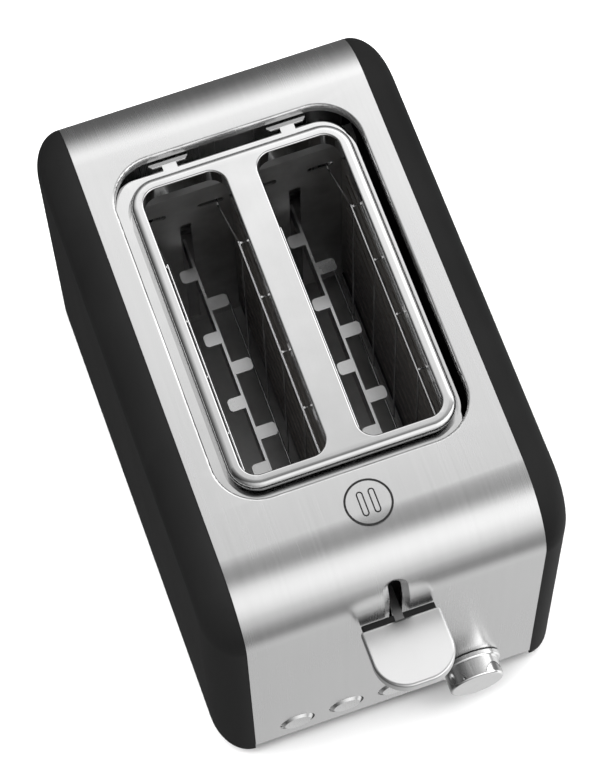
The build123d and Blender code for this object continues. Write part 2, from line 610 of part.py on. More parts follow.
def make_guard(slot_side, guard_side):
    """Welded wire guard that tilts in to hold the bread."""
    # the wires are joined beside the middle of the toaster, then moved out to their own slot
    front_x = -guard_side * (SLOT_X - GUARD_OFFSET)
    back_x = front_x + guard_side * GUARD_UPRIGHT_OFFSET
    upright_places = [chamber_y + (index - 2.5) * GUARD_PITCH for index in range(5)]
    rail_front, rail_rear = upright_places[0] - 2, upright_places[-1] + 1
    arm_rear = CHAMBER_REAR - 3.0
    with BuildPart() as wires:
        # hinge wire, which turns in holes in both end plates
        with Locations(Location((front_x, chamber_y, GUARD_HINGE_Z), (90, 0, 0))):
            Cylinder(WIRE, chamber_inside + 8.0)
        # top rail on the bread side
        with Locations(Location((front_x, (rail_front + rail_rear) / 2, GUARD_TOP_Z), (90, 0, 0))):
            Cylinder(WIRE, rail_rear - rail_front)
        # uprights, each turned outwards at the top to an outer rail
        upright = GUARD_TOP_Z - GUARD_HINGE_Z
        for y in upright_places:
            with Locations((back_x, y, GUARD_HINGE_Z + upright / 2)):
                Cylinder(WIRE, upright + 2 * WIRE)
            foot_x = (front_x + back_x) / 2
            with Locations(Location((foot_x, y, GUARD_HINGE_Z), (0, 90, 0))):
                Cylinder(CROSS_WIRE, abs(back_x - front_x))
            stub_x = back_x + guard_side * GUARD_STUB / 2
            with Locations(Location((stub_x, y, GUARD_TOP_Z), (0, 90, 0))):
                Cylinder(CROSS_WIRE, GUARD_STUB)
        outer_x = back_x + guard_side * GUARD_STUB
        with Locations(Location((outer_x, (rail_front + rail_rear) / 2, GUARD_TOP_Z), (90, 0, 0))):
            Cylinder(OUTER_RAIL_WIRE, rail_rear - rail_front)
        # arm that slopes down to the guide pin in the rear plate, and the pin in the front plate
        run = arm_rear - upright_places[-1]
        drop = GUARD_TOP_Z - GUARD_PIN_Z
        arm_center = (front_x, upright_places[-1] + run / 2, GUARD_TOP_Z - drop / 2)
        with Locations(Location(arm_center, (-degrees(atan2(run, -drop)), 0, 0))):
            Cylinder(WIRE, hypot(run, drop) + WIRE)
        pin_center = arm_rear + GUARD_PIN_LENGTH / 2 - 0.5
        with Locations(Location((front_x, pin_center, GUARD_PIN_Z), (90, 0, 0))):
            Cylinder(WIRE, GUARD_PIN_LENGTH)
        front_pin_rear = upright_places[0] + 0.4
        front_pin_front = CHAMBER_FRONT - 4.0
        front_pin_y = (front_pin_front + front_pin_rear) / 2
        with Locations(Location((front_x, front_pin_y, GUARD_PIN_Z), (90, 0, 0))):
            Cylinder(WIRE, front_pin_rear - front_pin_front)
        with Locations(Location(((front_x + back_x) / 2, upright_places[0], GUARD_PIN_Z), (0, 90, 0))):
            Cylinder(CROSS_WIRE, abs(back_x - front_x) + 0.3)
    with BuildPart() as guard:
        with Locations((slot_side * SLOT_X + guard_side * GUARD_OFFSET - front_x, 0, 0)):
            add(wires.part)
    return guard


for slot_name, slot_side in (("left", -1), ("right", 1)):
    keep(make_guard(slot_side, slot_side), f"bread_guard_{slot_name}_outer")
    keep(make_guard(slot_side, -slot_side), f"bread_guard_{slot_name}_inner")

# ------------------------------------------------------------------ bread racks and carriage
rack_front = CHAMBER_FRONT - 7.0
rack_rear = CHAMBER_REAR + 6.0
tab_first_y = FRONT + 94.7


def make_rack(slot_side):
    """Upright strip with flat tabs turned out to the left and right in turn."""
    x = slot_side * SLOT_X + RACK_OFFSET
    with BuildPart() as rack:
        with BuildSketch(Plane.YZ.offset(x)):
            with Locations(((rack_front + rack_rear) / 2, RACK_TOP - RACK_DEPTH / 2)):
                Rectangle(rack_rear - rack_front, RACK_DEPTH)
        extrude(amount=RACK_SHEET / 2, both=True)
        with BuildSketch(Plane.XY.offset(RACK_TOP)):
            for tab_side, first_y in ((-1, tab_first_y), (1, tab_first_y - TAB_PITCH / 2)):
                tab_reach = TAB_REACH[tab_side]
                tab_center = x + tab_side * tab_reach / 2
                for index in range(4):
                    with Locations((tab_center, first_y + index * TAB_PITCH)):
                        Rectangle(tab_reach, TAB_WIDTH_Y)
        extrude(amount=-1.0)
        tab_tips = rack.edges().filter_by(Axis.Z)
        tab_tips = tab_tips.filter_by(lambda edge: abs(edge.center().X - x) > TAB_REACH[-1] - 1)
        fillet(tab_tips, 1.8)
    return rack


for slot_name, slot_side in (("left", -1), ("right", 1)):
    keep(make_rack(slot_side), f"bread_rack_{slot_name}")

yoke_front = rack_front - 2.0
yoke_low = RACK_TOP - RACK_DEPTH - 2
yoke_high = RACK_TOP + 6
sleeve_low = yoke_low + 2
sleeve_high = yoke_high + 4
stem_high = LEVER_BACK_TOP - 0.8
stem_low = LEVER_BOTTOM + 0.8
with BuildPart() as carriage_yoke:
    with BuildSketch(Plane(origin=(0, rack_front, 0), x_dir=(1, 0, 0), z_dir=(0, -1, 0))):
        with Locations((0, (yoke_low + yoke_high) / 2)):
            Rectangle(2 * SLOT_X + 10, yoke_high - yoke_low)
    extrude(amount=2.0)
    with BuildSketch(Plane.XY.offset(sleeve_low)):
        with Locations((-ROD_X, ROD_Y), (ROD_X, ROD_Y)):
            Circle(SLEEVE_RADIUS)
        for rod_side in (-1, 1):
            with Locations((rod_side * ROD_X, (ROD_Y + yoke_front) / 2 + 1)):
                Rectangle(6, yoke_front - ROD_Y)
    extrude(amount=sleeve_high - sleeve_low)
    # upright web and the stem that passes the slot in the front face
    with BuildSketch(Plane.YZ):
        with BuildLine():
            Polyline(
                (yoke_front + 1, yoke_low), (yoke_front + 1, stem_high), (LEVER_BACK - 6, stem_high),
                (LEVER_BACK - 6, stem_low), (ROD_Y - 10, stem_low), (ROD_Y - 4, yoke_low), close=True,
            )
        make_face()
    extrude(amount=2.0, both=True)
    # sole that meets the magnet
    with BuildSketch(Plane.XY.offset(yoke_low - 1.5)):
        with Locations((0, ROD_Y + 3)):
            Rectangle(22, 12)
    extrude(amount=1.5)
    with Locations((-ROD_X, ROD_Y, sleeve_high), (ROD_X, ROD_Y, sleeve_high)):
        Hole(ROD_RADIUS + ROD_CLEARANCE, depth=sleeve_high - sleeve_low)
keep(carriage_yoke, "carriage_yoke")

with BuildPart() as lever_paddle:
    tip = FRONT - LEVER_REACH
    with BuildSketch(Plane.XY.offset(LEVER_BOTTOM)):
        with BuildLine():
            FilletPolyline(
                (-LEVER_HALF_WIDTH, LEVER_BACK), (-LEVER_HALF_WIDTH, tip), (LEVER_HALF_WIDTH, tip),
                (LEVER_HALF_WIDTH, LEVER_BACK), radius=LEVER_CORNER,
            )
            Line((LEVER_HALF_WIDTH, LEVER_BACK), (-LEVER_HALF_WIDTH, LEVER_BACK))
        make_face()
    extrude(amount=LEVER_TIP_TOP - LEVER_BOTTOM)
    fillet(lever_paddle.edges().filter_by(Axis.Z), 1.5)
    # the thumb face falls towards the casing
    with BuildSketch(Plane.YZ):
        with BuildLine():
            Polyline(
                (tip, LEVER_TIP_TOP), (LEVER_BACK, LEVER_BACK_TOP), (LEVER_BACK, LEVER_TIP_TOP + 1),
                (tip, LEVER_TIP_TOP + 1), close=True,
            )
        make_face()
    extrude(amount=LEVER_HALF_WIDTH + 1, both=True, mode=Mode.SUBTRACT)
    fillet(lever_paddle.faces().sort_by(Axis.Z)[-1].edges(), 1.3)
    fillet(lever_paddle.faces().sort_by(Axis.Z)[0].edges(), 2.4)
    # socket for the stem
    with BuildSketch(Plane.XZ.offset(-LEVER_BACK)):
        with Locations((0, (stem_high + stem_low) / 2)):
            Rectangle(4.0, stem_high - stem_low)
    extrude(amount=6.0, mode=Mode.SUBTRACT)
keep(lever_paddle, "lever_paddle")

# dark backing between the paddle and the casing, split by the stem
with BuildPart() as lever_backing:
    backing_width = 2 * LEVER_HALF_WIDTH - 3.0
    backing_height = LEVER_BACK_TOP - LEVER_BOTTOM - 2.0
    backing_z = (LEVER_BACK_TOP + LEVER_BOTTOM) / 2
    with BuildSketch(Plane(origin=(0, LEVER_BACK, backing_z), x_dir=(1, 0, 0), z_dir=(0, -1, 0))):
        RectangleRounded(backing_width, backing_height, 1.2)
        Rectangle(4.1, backing_height, mode=Mode.SUBTRACT)
    extrude(amount=-(FRONT - LEVER_BACK - 0.8))
keep(lever_backing, "lever_backing")

rod_low = BASE_TOP
rod_high = 168.0
bracket_z = 165.0


def make_rod(x):
    """Polished guide rod standing on the base."""
    with BuildPart() as rod:
        with Locations((x, ROD_Y, (rod_low + rod_high) / 2)):
            Cylinder(ROD_RADIUS, rod_high - rod_low)
    return rod


SPRING_WIRE = 0.5
SPRING_RADIUS = 3.6
SPRING_TURNS = 12
spring_low = rod_low
spring_high = sleeve_low


def make_spring(x):
    """Return spring round a guide rod, from the base up to the carriage sleeve."""
    coil_height = spring_high - spring_low - 2 * SPRING_WIRE
    coil_start = Vector(x, ROD_Y, spring_low + SPRING_WIRE)
    with BuildPart() as spring:
        with BuildLine() as coil:
            Helix(coil_height / SPRING_TURNS, coil_height, SPRING_RADIUS, center=coil_start)
        with BuildSketch(Plane(coil.line @ 0, z_dir=coil.line % 0)):
            Circle(SPRING_WIRE)
        sweep()
    return spring


for slot_name, slot_side in (("left", -1), ("right", 1)):
    keep(make_rod(slot_side * ROD_X), f"guide_rod_{slot_name}")
    keep(make_spring(slot_side * ROD_X), f"carriage_spring_{slot_name}")

with BuildPart() as rod_bracket:
    with BuildSketch(Plane.XY.offset(bracket_z)):
        with Locations((0, ROD_Y + 4)):
            RectangleRounded(2 * ROD_X + 16, 26, 2)
        with Locations((-ROD_X, ROD_Y), (ROD_X, ROD_Y)):
            Circle(ROD_RADIUS, mode=Mode.SUBTRACT)
    extrude(amount=1.5)
    # legs down to the folded top of the front end plate
    leg_y = ROD_Y + 13
    with BuildSketch(Plane.XY.offset(PLATE_TOP)):
        with Locations((-ROD_X, leg_y), (ROD_X, leg_y)):
            Rectangle(12, 8)
    extrude(amount=bracket_z - PLATE_TOP)
keep(rod_bracket, "rod_bracket")

# ------------------------------------------------------------------ latch magnet, board, switches
magnet_y = ROD_Y + 3
magnet_top = yoke_low - 1.5 - TRAVEL_DOWN
with BuildPart() as magnet_core:
    with BuildSketch(Plane.XY.offset(BASE_TOP)):
        with Locations((0, magnet_y)):
            Rectangle(20, 8)
    extrude(amount=2.5)
    with BuildSketch(Plane.XY.offset(BASE_TOP + 2.5)):
        with Locations((-8, magnet_y), (0, magnet_y), (8, magnet_y)):
            Rectangle(3, 8)
    extrude(amount=magnet_top - 0.4 - BASE_TOP - 2.5)
keep(magnet_core, "magnet_core")

with BuildPart() as magnet_coil:
    with BuildSketch(Plane.XY.offset(BASE_TOP + 3)):
        with Locations((0, magnet_y)):
            RectangleRounded(11, 15, 3)
            Rectangle(3, 8, mode=Mode.SUBTRACT)
    extrude(amount=magnet_top - 2 - BASE_TOP - 3)
keep(magnet_coil, "magnet_coil")

with BuildPart() as control_board:
    with BuildSketch(Plane(origin=(0, BOARD_Y, 0), x_dir=(1, 0, 0), z_dir=(0, -1, 0))):
        with Locations((-4, 34)):
            Rectangle(112, 40)
        with Locations((KNOB_X, CONTROL_Z)):
            Circle(SHAFT_RADIUS + 0.5, mode=Mode.SUBTRACT)
    extrude(amount=-1.6)
keep(control_board, "control_board")

SWITCH_HEIGHT = 4.0
BUTTON_NAMES = ("left", "centre", "right")
button_face = FRONT - BUTTON_PROUD
plunger_end = BOARD_Y - SWITCH_HEIGHT - BUTTON_TRAVEL - 0.3


def make_switch(x):
    """Tact switch on the board."""
    with BuildPart() as switch:
        with BuildSketch(Plane(origin=(x, BOARD_Y, CONTROL_Z), x_dir=(1, 0, 0), z_dir=(0, -1, 0))):
            RectangleRounded(12, 12, 1)
        extrude(amount=SWITCH_HEIGHT - 1)
        with BuildSketch(
            Plane(origin=(x, BOARD_Y - SWITCH_HEIGHT + 1, CONTROL_Z), x_dir=(1, 0, 0), z_dir=(0, -1, 0))
        ):
            Circle(3)
        extrude(amount=1)
    return switch


def make_button(x):
    """Push button: chamfered cap with a shallow dish, flange behind the sheet, and plunger."""
    with BuildPart() as button:
        with BuildSketch(Plane(origin=(x, button_face, CONTROL_Z), x_dir=(1, 0, 0), z_dir=(0, 1, 0))):
            Circle(BUTTON_RADIUS)
        extrude(amount=BUTTON_PROUD + SHEET + 1)
        with BuildSketch(
            Plane(origin=(x, FRONT + SHEET + 0.3, CONTROL_Z), x_dir=(1, 0, 0), z_dir=(0, 1, 0))
        ):
            Circle(BUTTON_HOLE_RADIUS + 1.2)
        extrude(amount=1.5)
        with BuildSketch(
            Plane(origin=(x, FRONT + SHEET + 1, CONTROL_Z), x_dir=(1, 0, 0), z_dir=(0, 1, 0))
        ):
            Circle(3.5)
        extrude(amount=plunger_end - FRONT - SHEET - 1)
        front_rim = button.edges().group_by(Axis.Y)[0]
        chamfer(front_rim, BUTTON_CHAMFER)
        # shallow dish in the cap
        with Locations((x, button_face - BUTTON_DISH_RADIUS + BUTTON_DISH_DEPTH, CONTROL_Z)):
            Sphere(BUTTON_DISH_RADIUS, mode=Mode.SUBTRACT)
    return button


for button_name, button_x in zip(BUTTON_NAMES, BUTTON_X):
    keep(make_switch(button_x), f"switch_{button_name}")
    keep(make_button(button_x), f"button_{button_name}")

pot_front = BOARD_Y - 6.0
with BuildPart() as browning_control:
    with BuildSketch(Plane(origin=(KNOB_X, BOARD_Y, CONTROL_Z), x_dir=(1, 0, 0), z_dir=(0, -1, 0))):
        RectangleRounded(16, 16, 2)
    extrude(amount=6.0)
    with Locations(Plane(origin=(KNOB_X, pot_front, CONTROL_Z), z_dir=(0, -1, 0))):
        Hole(SHAFT_RADIUS + 0.05, depth=6.0)
keep(browning_control, "browning_control")

with BuildPart() as knob_shaft:
    shaft_front = KNOB_FRONT + 3
    with BuildSketch(Plane(origin=(KNOB_X, shaft_front, CONTROL_Z), x_dir=(1, 0, 0), z_dir=(0, 1, 0))):
        Circle(SHAFT_RADIUS)
    extrude(amount=BOARD_Y - 0.4 - shaft_front)
keep(knob_shaft, "knob_shaft")

with BuildPart() as browning_knob:
    with BuildSketch(Plane(origin=(KNOB_X, KNOB_BACK, CONTROL_Z), x_dir=(1, 0, 0), z_dir=(0, -1, 0))):
        Circle(KNOB_FLANGE_RADIUS)
    extrude(amount=KNOB_BACK - KNOB_FLANGE_FRONT)
    fillet(browning_knob.edges().group_by(Axis.Y)[0], 0.9)
    with BuildSketch(
        Plane(origin=(KNOB_X, KNOB_FLANGE_FRONT, CONTROL_Z), x_dir=(1, 0, 0), z_dir=(0, -1, 0))
    ):
        Circle(KNOB_RADIUS)
    extrude(amount=KNOB_FLANGE_FRONT - KNOB_FRONT)
    fillet(browning_knob.edges().group_by(Axis.Y)[0], 1.2)
    with Locations(Plane(origin=(KNOB_X, KNOB_BACK, CONTROL_Z), z_dir=(0, 1, 0))):
        Hole(SHAFT_RADIUS, depth=KNOB_BACK - shaft_front)
keep(browning_knob, "browning_knob")

# ------------------------------------------------------------------ mains entry
with BuildPart() as cord_bush:
    bush_plane = Plane(origin=(CORD_X, REAR, CORD_Z), x_dir=(-1, 0, 0), z_dir=(0, 1, 0))
    with BuildSketch(bush_plane):
        Circle(CORD_HOLE_RADIUS + 2)
    extrude(amount=2.5)
    fillet(cord_bush.edges().group_by(Axis.Y)[-1], 1.2)
    with BuildSketch(bush_plane):
        Circle(CORD_HOLE_RADIUS)
    extrude(amount=-8.0)
    with BuildSketch(bush_plane.offset(-SHEET)):
        Circle(CORD_HOLE_RADIUS + 1.5)
    extrude(amount=-2.0)
    with Locations(bush_plane.offset(2.5)):
        Hole(CORD_BORE_RADIUS, depth=10.5)
keep(cord_bush, "cord_bush")

with BuildPart() as terminal_block:
    with BuildSketch(Plane.XY.offset(TERMINAL_BOTTOM)):
        with Locations((CORD_X, TERMINAL_Y)):
            Rectangle(TERMINAL_WIDTH, TERMINAL_DEPTH)
    extrude(amount=TERMINAL_HEIGHT)
    fillet(terminal_block.edges().filter_by(Axis.Z), 1.0)
    for wire_place in (-9, 0, 9):
        with Locations((CORD_X + wire_place, TERMINAL_Y, TERMINAL_BOTTOM + TERMINAL_HEIGHT)):
            Hole(2.2, depth=5)
keep(terminal_block, "terminal_block")

with BuildPart() as terminal_bracket:
    with BuildSketch(Plane.XY.offset(BASE_TOP)):
        with Locations((CORD_X - 22, TERMINAL_Y)):
            Rectangle(2 * BRACKET_SHEET, TERMINAL_DEPTH)
    extrude(amount=TERMINAL_BOTTOM - BASE_TOP)
    with BuildSketch(Plane.XY.offset(TERMINAL_BOTTOM - BRACKET_SHEET)):
        with Locations((CORD_X - 4, TERMINAL_Y)):
            Rectangle(TERMINAL_WIDTH + 8, TERMINAL_DEPTH)
    extrude(amount=BRACKET_SHEET)
keep(terminal_bracket, "terminal_bracket")

# ------------------------------------------------------------------ fasteners
with BuildPart() as panel_screws:
    screw_places = [(x, y) for x in (-SCREW_X, SCREW_X) for y in EAR_Y]
    with BuildSketch(Plane.XY.offset(PANEL_BOTTOM - SCREW_HEAD_HEIGHT)):
        with Locations(*screw_places):
            Circle(SCREW_HEAD_RADIUS)
    extrude(amount=SCREW_HEAD_HEIGHT)
    with BuildSketch(Plane.XY.offset(PANEL_BOTTOM)):
        with Locations(*screw_places):
            Circle(SCREW_RADIUS)
    extrude(amount=5.0)
    with BuildSketch(Plane.XY.offset(PANEL_BOTTOM - SCREW_HEAD_HEIGHT)):
        with Locations(*screw_places):
            Rectangle(4.0, 0.8)
            Rectangle(0.8, 4.0)
    extrude(amount=0.7, mode=Mode.SUBTRACT)
keep(panel_screws, "panel_screws")
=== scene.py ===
import json
import math

import bmesh
import bpy
from mathutils import Matrix, Vector


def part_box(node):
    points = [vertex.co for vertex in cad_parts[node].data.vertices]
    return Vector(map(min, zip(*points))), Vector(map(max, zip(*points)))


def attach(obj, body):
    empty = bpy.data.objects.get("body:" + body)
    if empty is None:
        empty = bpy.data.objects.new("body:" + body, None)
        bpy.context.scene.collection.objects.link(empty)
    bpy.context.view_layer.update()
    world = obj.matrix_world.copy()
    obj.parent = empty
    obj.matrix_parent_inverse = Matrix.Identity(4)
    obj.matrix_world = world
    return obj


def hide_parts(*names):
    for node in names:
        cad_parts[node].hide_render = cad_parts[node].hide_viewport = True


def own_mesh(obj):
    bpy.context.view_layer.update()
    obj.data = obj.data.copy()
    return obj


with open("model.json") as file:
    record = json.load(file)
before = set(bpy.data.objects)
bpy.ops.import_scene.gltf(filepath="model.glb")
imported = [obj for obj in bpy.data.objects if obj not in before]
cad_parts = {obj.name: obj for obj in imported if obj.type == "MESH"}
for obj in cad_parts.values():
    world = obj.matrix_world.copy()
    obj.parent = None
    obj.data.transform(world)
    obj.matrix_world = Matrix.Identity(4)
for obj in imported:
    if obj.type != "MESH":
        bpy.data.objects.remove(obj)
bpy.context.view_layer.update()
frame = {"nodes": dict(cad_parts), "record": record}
nodes = frame["nodes"]

SHELL_LOW, SHELL_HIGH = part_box("outer_shell")
SHELL_FRONT = SHELL_LOW.y
SHELL_TOP = SHELL_HIGH.z
MM = 0.001


# ------------------------------------------------------------------ small node helpers
class Shader:
    """A node material with a Principled shader and short calls to wire textures into it."""

    def __init__(self, name, **sockets):
        self.material = bpy.data.materials.new(name)
        self.material.use_nodes = True
        self.tree = self.material.node_tree
        self.principled = self.tree.nodes["Principled BSDF"]
        self.place = self.tree.nodes.new("ShaderNodeTexCoord").outputs["Object"]
        for socket, value in sockets.items():
            self.principled.inputs[socket.replace("_", " ")].default_value = value

    def add(self, kind, **settings):
        node = self.tree.nodes.new(kind)
        for key, value in settings.items():
            setattr(node, key, value)
        return node

    def link(self, output, node, socket):
        self.tree.links.new(output, node.inputs[socket])

    def scaled(self, scale, turn=(0.0, 0.0, 0.0)):
        """Object coordinates, turned and scaled, in repeats per metre."""
        mapping = self.add("ShaderNodeMapping")
        mapping.inputs["Rotation"].default_value = turn
        mapping.inputs["Scale"].default_value = scale
        self.link(self.place, mapping, "Vector")
        return mapping.outputs["Vector"]

    def noise(self, scale, detail=3.0, roughness=0.5, distortion=0.0, turn=(0.0, 0.0, 0.0)):
        node = self.add("ShaderNodeTexNoise")
        node.inputs["Scale"].default_value = 1.0
        node.inputs["Detail"].default_value = detail
        node.inputs["Roughness"].default_value = roughness
        node.inputs["Distortion"].default_value = distortion
        self.link(self.scaled(scale, turn), node, "Vector")
        return node.outputs["Fac"]

    def spread(self, value, low, high, source=(0.3, 0.7)):
        """Value moved from the source range to low..high."""
        node = self.add("ShaderNodeMapRange")
        node.inputs["From Min"].default_value, node.inputs["From Max"].default_value = source
        node.inputs["To Min"].default_value, node.inputs["To Max"].default_value = low, high
        self.link(value, node, "Value")
        return node.outputs["Result"]

    def math(self, operation, first, second):
        node = self.add("ShaderNodeMath", operation=operation)
        for index, value in enumerate((first, second)):
            if isinstance(value, (int, float)):
                node.inputs[index].default_value = value
            else:
                self.tree.links.new(value, node.inputs[index])
        return node.outputs["Value"]

    def blend(self, factor, dark, light):
        """Colour between dark and light."""
        node = self.add("ShaderNodeMix", data_type="RGBA")
        node.inputs["A"].default_value = (*dark, 1.0)
        node.inputs["B"].default_value = (*light, 1.0)
        self.link(factor, node, "Factor")
        return node.outputs["Result"]

    def bump(self, height, strength, distance, before=None):
        node = self.add("ShaderNodeBump")
        node.inputs["Strength"].default_value = strength
        node.inputs["Distance"].default_value = distance
        self.link(height, node, "Height")
        if before is not None:
            self.link(before, node, "Normal")
        return node.outputs["Normal"]

    def drive(self, **sockets):
        for socket, output in sockets.items():
            self.link(output, self.principled, socket.replace("_", " "))

    def radial_tangent(self, axis):
        node = self.add("ShaderNodeTangent", direction_type="RADIAL", axis=axis)
        self.link(node.outputs["Tangent"], self.principled, "Tangent")


def grey(value):
    return (value, value, value)


# ------------------------------------------------------------------ materials
def shell_steel():
    """The wrapped sheet, with fine grinding lines that run round the wrap, from front to rear."""
    tone, roughness = 0.74, 0.26
    grain = (2200, 18, 18)
    s = Shader("shell_steel", Metallic=1.0, Anisotropic=0.55)
    fine = s.noise(grain, detail=4.0, roughness=0.65)
    broad = s.noise(tuple(v * 0.16 for v in grain), detail=2.0)
    cloud = s.noise((14, 14, 14), detail=2.0)
    line = s.math("ADD", s.math("MULTIPLY", fine, 0.7), s.math("MULTIPLY", broad, 0.3))
    s.drive(Base_Color=s.blend(s.spread(line, 0, 1), grey(tone * 0.96), grey(tone * 1.03)))
    rough = s.math("ADD", s.spread(line, -0.02, 0.02), s.spread(cloud, roughness - 0.02, roughness + 0.02))
    s.drive(Roughness=rough, Normal=s.bump(fine, 0.045, 0.02 * MM))
    s.radial_tangent("X")
    return s.material


def polished_steel():
    s = Shader("polished_steel", Metallic=1.0)
    haze = s.noise((60, 60, 60), detail=3.0)
    lines = s.noise((1500, 30, 1500), detail=3.0)
    s.drive(Base_Color=s.blend(s.spread(haze, 0, 1), grey(0.66), grey(0.71)))
    s.drive(Roughness=s.spread(lines, 0.08, 0.14), Normal=s.bump(lines, 0.03, 0.02 * MM))
    return s.material


def chrome_plate():
    s = Shader("chrome_plate", Metallic=1.0)
    haze = s.noise((90, 90, 90), detail=4.0)
    s.drive(Base_Color=s.blend(s.spread(haze, 0, 1), grey(0.88), grey(0.93)))
    s.drive(Roughness=s.spread(haze, 0.05, 0.09))
    return s.material


def satin_chrome():
    """Chrome worn to a soft sheen by fingers."""
    s = Shader("satin_chrome", Metallic=1.0)
    rubbed = s.noise((70, 70, 70), detail=4.0)
    s.drive(Base_Color=s.blend(s.spread(rubbed, 0, 1), grey(0.78), grey(0.83)))
    s.drive(Roughness=s.spread(rubbed, 0.30, 0.36))
    return s.material


def moulded_plastic(name, tone, roughness, grain=1700.0, depth=0.05, shine=0.5):
    """Plastic with the fine spark-eroded grain of its mould."""
    s = Shader(name, Specular_IOR_Level=shine)
    pores = s.noise((grain, grain, grain), detail=2.0, roughness=0.6)
    flow = s.noise((20, 20, 9), detail=2.0)
    s.drive(Base_Color=s.blend(s.spread(flow, 0, 1), grey(tone * 0.85), grey(tone * 1.2)))
    s.drive(Roughness=s.spread(flow, roughness - 0.03, roughness + 0.03))
    s.drive(Normal=s.bump(pores, 0.25, depth * MM))
    return s.material


def rubber():
    s = Shader("foot_rubber", Specular_IOR_Level=0.3)
    grain = s.noise((900, 900, 900), detail=3.0)
    s.drive(Base_Color=s.blend(s.spread(grain, 0, 1), grey(0.018), grey(0.035)))
    s.drive(Roughness=s.spread(grain, 0.7, 0.85), Normal=s.bump(grain, 0.3, 0.05 * MM))
    return s.material


def plated_sheet(name, tone, roughness=0.34):
    """Zinc-plated or aluminised sheet with faint rolling lines and blotches."""
    s = Shader(name, Metallic=1.0)
    blotch = s.noise((55, 55, 55), detail=4.0, roughness=0.6)
    rolled = s.noise((40, 900, 900), detail=3.0)
    s.drive(Base_Color=s.blend(s.spread(blotch, 0, 1), grey(tone * 0.82), grey(tone * 1.1)))
    s.drive(Roughness=s.spread(blotch, roughness - 0.06, roughness + 0.08))
    s.drive(Normal=s.bump(rolled, 0.08, 0.03 * MM))
    return s.material


def mica():
    """Pressed mica sheet, dark with heat: flakes in layers."""
    s = Shader("mica_sheet", Specular_IOR_Level=0.6)
    flakes = s.add("ShaderNodeTexVoronoi", feature="F1")
    flakes.inputs["Scale"].default_value = 1.0
    s.link(s.scaled((420, 420, 420)), flakes, "Vector")
    tone = s.math("MULTIPLY", flakes.outputs["Distance"], 1.2)
    s.drive(Base_Color=s.blend(tone, (0.050, 0.048, 0.046), (0.100, 0.095, 0.090)))
    s.drive(Roughness=s.spread(tone, 0.35, 0.55, (0.0, 1.0)))
    return s.material


def heater_alloy():
    s = Shader("heater_alloy", Metallic=1.0)
    oxide = s.noise((300, 300, 300), detail=4.0)
    s.drive(Base_Color=s.blend(s.spread(oxide, 0, 1), (0.16, 0.14, 0.13), (0.36, 0.33, 0.31)))
    s.drive(Roughness=s.spread(oxide, 0.3, 0.5))
    return s.material


def drawn_wire(name, tone, roughness):
    """Bright drawn wire with duller patches from heat."""
    s = Shader(name, Metallic=1.0)
    heat = s.noise((35, 35, 35), detail=3.0)
    s.drive(Base_Color=s.blend(s.spread(heat, 0, 1), grey(tone * 0.75), grey(tone * 1.1)))
    s.drive(Roughness=s.spread(heat, roughness * 0.8, roughness * 1.3))
    return s.material


def circuit_board():
    s = Shader("circuit_board", Specular_IOR_Level=0.5)
    weave = s.noise((700, 700, 700), detail=2.0)
    s.drive(Base_Color=s.blend(s.spread(weave, 0, 1), (0.015, 0.07, 0.03), (0.03, 0.12, 0.05)))
    s.drive(Roughness=s.spread(weave, 0.3, 0.42))
    return s.material


def enamelled_copper():
    s = Shader("enamelled_copper", Metallic=1.0, Coat_Weight=0.6)
    turns = s.add("ShaderNodeTexWave", wave_type="BANDS", bands_direction="Z")
    turns.inputs["Scale"].default_value = 1.0
    s.link(s.scaled((600, 600, 600)), turns, "Vector")
    s.drive(Base_Color=s.blend(turns.outputs["Fac"], (0.25, 0.08, 0.03), (0.62, 0.28, 0.12)))
    s.drive(Roughness=s.spread(turns.outputs["Fac"], 0.25, 0.4, (0, 1)))
    s.drive(Normal=s.bump(turns.outputs["Fac"], 0.5, 0.1 * MM))
    return s.material


def core_iron():
    s = Shader("core_iron", Metallic=1.0)
    layers = s.noise((60, 3000, 60), detail=2.0)
    s.drive(Base_Color=s.blend(s.spread(layers, 0, 1), grey(0.16), grey(0.32)))
    s.drive(Roughness=s.spread(layers, 0.4, 0.6), Normal=s.bump(layers, 0.3, 0.05 * MM))
    return s.material


def printed_ink():
    s = Shader("printed_ink", Specular_IOR_Level=0.15)
    speckle = s.noise((1200, 1200, 1200), detail=2.0)
    s.drive(Base_Color=s.blend(s.spread(speckle, 0, 1), grey(0.008), grey(0.016)))
    s.drive(Roughness=s.spread(speckle, 0.45, 0.6))
    return s.material


def button_steel():
    """Satin button cap, brushed faintly up and down."""
    s = Shader("button_steel", Metallic=1.0)
    satin = s.noise((1800, 60, 60), detail=3.0)
    s.drive(Base_Color=s.blend(s.spread(satin, 0, 1), grey(0.76), grey(0.84)))
    s.drive(Roughness=s.spread(satin, 0.24, 0.33), Normal=s.bump(satin, 0.05, 0.02 * MM))
    return s.material


FINISHES = {
    "brushed_steel": shell_steel(),
    "polished_steel": polished_steel(),
    "chrome": chrome_plate(),
    "black_plastic": moulded_plastic("panel_plastic", 0.0105, 0.5, shine=0.03),
    "base_plastic": moulded_plastic("base_plastic", 0.03, 0.5, grain=900.0, depth=0.08),
    "rubber": rubber(),
    "plated_steel": plated_sheet("plated_steel", 0.50),
    "mica": mica(),
    "heater_alloy": heater_alloy(),
    "guard_wire": drawn_wire("guard_wire", 0.88, 0.16),
    "spring_steel": drawn_wire("spring_steel", 0.45, 0.3),
    "board": circuit_board(),
    "copper_coil": enamelled_copper(),
    "core_iron": core_iron(),
    "switch_plastic": moulded_plastic("switch_plastic", 0.04, 0.42, grain=1200.0),
    "button_steel": button_steel(),
}
